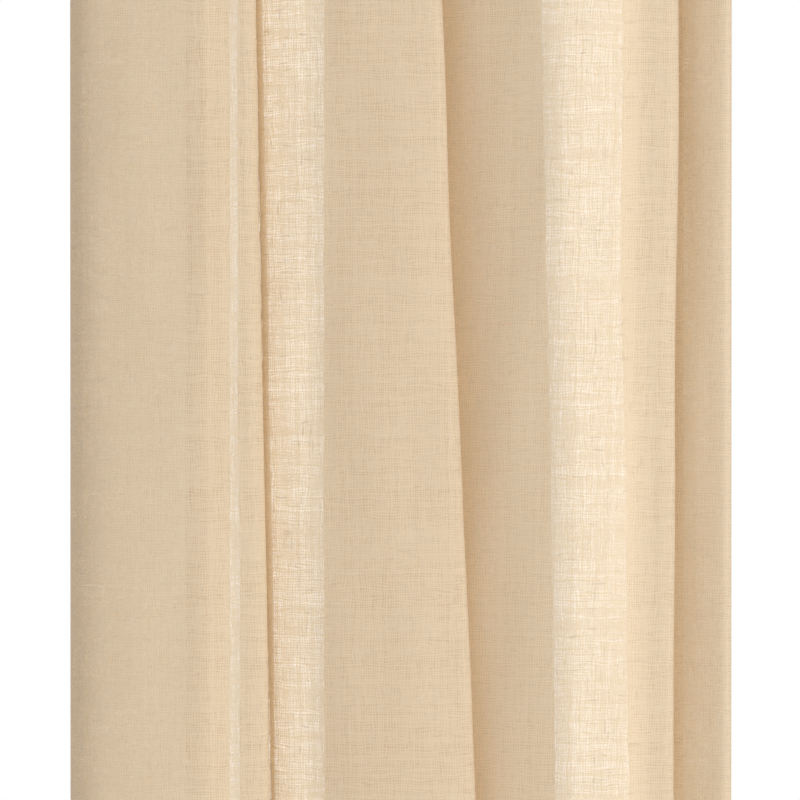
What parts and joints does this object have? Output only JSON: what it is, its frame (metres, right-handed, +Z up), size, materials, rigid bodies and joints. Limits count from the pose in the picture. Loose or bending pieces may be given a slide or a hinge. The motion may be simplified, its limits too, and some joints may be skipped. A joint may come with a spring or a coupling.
{
  "type": "fabric room curtain panel",
  "caption": "Semi-sheer linen-look curtain panel with an eyelet header, hung in soft vertical folds, with hems, stitching and snap-together rings.",
  "frame": {"origin": "on the rod's axis, midway between the first and the last eyelet", "axes": "+X along the rod towards the edge that stays put, -Y out of the face into the room, +Z up"},
  "size_m": [0.3854, 0.1388, 2.134],
  "materials": {
    "linen": "semi-sheer slubby plain weave",
    "stiffener": "non-woven",
    "thread": "matte sewing thread",
    "label": "woven satin ribbon, blank",
    "ring": "brushed nickel coating"
  },
  "bodies": {
    "panel": {"panel_cloth": "linen", "header_facing": "linen", "header_stiffener": "stiffener", "bottom_hem": "linen", "left_side_hem": "linen", "right_side_hem": "linen", "header_stitching_upper": "thread", "header_stitching_lower": "thread", "bottom_hem_stitching": "thread", "left_hem_stitching": "thread", "right_hem_stitching": "thread", "care_label": "label", "eyelet_front_8": "ring", "eyelet_back_8": "ring"},
    "eyelet_1": {"eyelet_front_1": "ring", "eyelet_back_1": "ring"},
    "eyelet_2": {"eyelet_front_2": "ring", "eyelet_back_2": "ring"},
    "eyelet_3": {"eyelet_front_3": "ring", "eyelet_back_3": "ring"},
    "eyelet_4": {"eyelet_front_4": "ring", "eyelet_back_4": "ring"},
    "eyelet_5": {"eyelet_front_5": "ring", "eyelet_back_5": "ring"},
    "eyelet_6": {"eyelet_front_6": "ring", "eyelet_back_6": "ring"},
    "eyelet_7": {"eyelet_front_7": "ring", "eyelet_back_7": "ring"}
  },
  "joints": [
    {"name": "draw", "type": "slide", "parent": "panel", "child": "eyelet_1", "axis": [1, 0, 0], "range_m": [0, 0.238], "deforming": ["panel_cloth", "header_facing", "header_stiffener", "bottom_hem", "left_side_hem", "right_side_hem", "header_stitching_upper", "header_stitching_lower", "bottom_hem_stitching", "left_hem_stitching", "right_hem_stitching", "care_label"]},
    {"name": "eyelet_2_slide", "type": "slide", "parent": "panel", "child": "eyelet_2", "axis": [1, 0, 0], "range_m": [0, 0.204]},
    {"name": "eyelet_3_slide", "type": "slide", "parent": "panel", "child": "eyelet_3", "axis": [1, 0, 0], "range_m": [0, 0.17]},
    {"name": "eyelet_4_slide", "type": "slide", "parent": "panel", "child": "eyelet_4", "axis": [1, 0, 0], "range_m": [0, 0.136]},
    {"name": "eyelet_5_slide", "type": "slide", "parent": "panel", "child": "eyelet_5", "axis": [1, 0, 0], "range_m": [0, 0.102]},
    {"name": "eyelet_6_slide", "type": "slide", "parent": "panel", "child": "eyelet_6", "axis": [1, 0, 0], "range_m": [0, 0.068]},
    {"name": "eyelet_7_slide", "type": "slide", "parent": "panel", "child": "eyelet_7", "axis": [1, 0, 0], "range_m": [0, 0.034]}
  ],
  "couplings": [
    {"joint": "eyelet_2_slide", "follows": "draw", "ratio": 0.85714},
    {"joint": "eyelet_3_slide", "follows": "draw", "ratio": 0.71429},
    {"joint": "eyelet_4_slide", "follows": "draw", "ratio": 0.57143},
    {"joint": "eyelet_5_slide", "follows": "draw", "ratio": 0.42857},
    {"joint": "eyelet_6_slide", "follows": "draw", "ratio": 0.28571},
    {"joint": "eyelet_7_slide", "follows": "draw", "ratio": 0.14286}
  ]
}
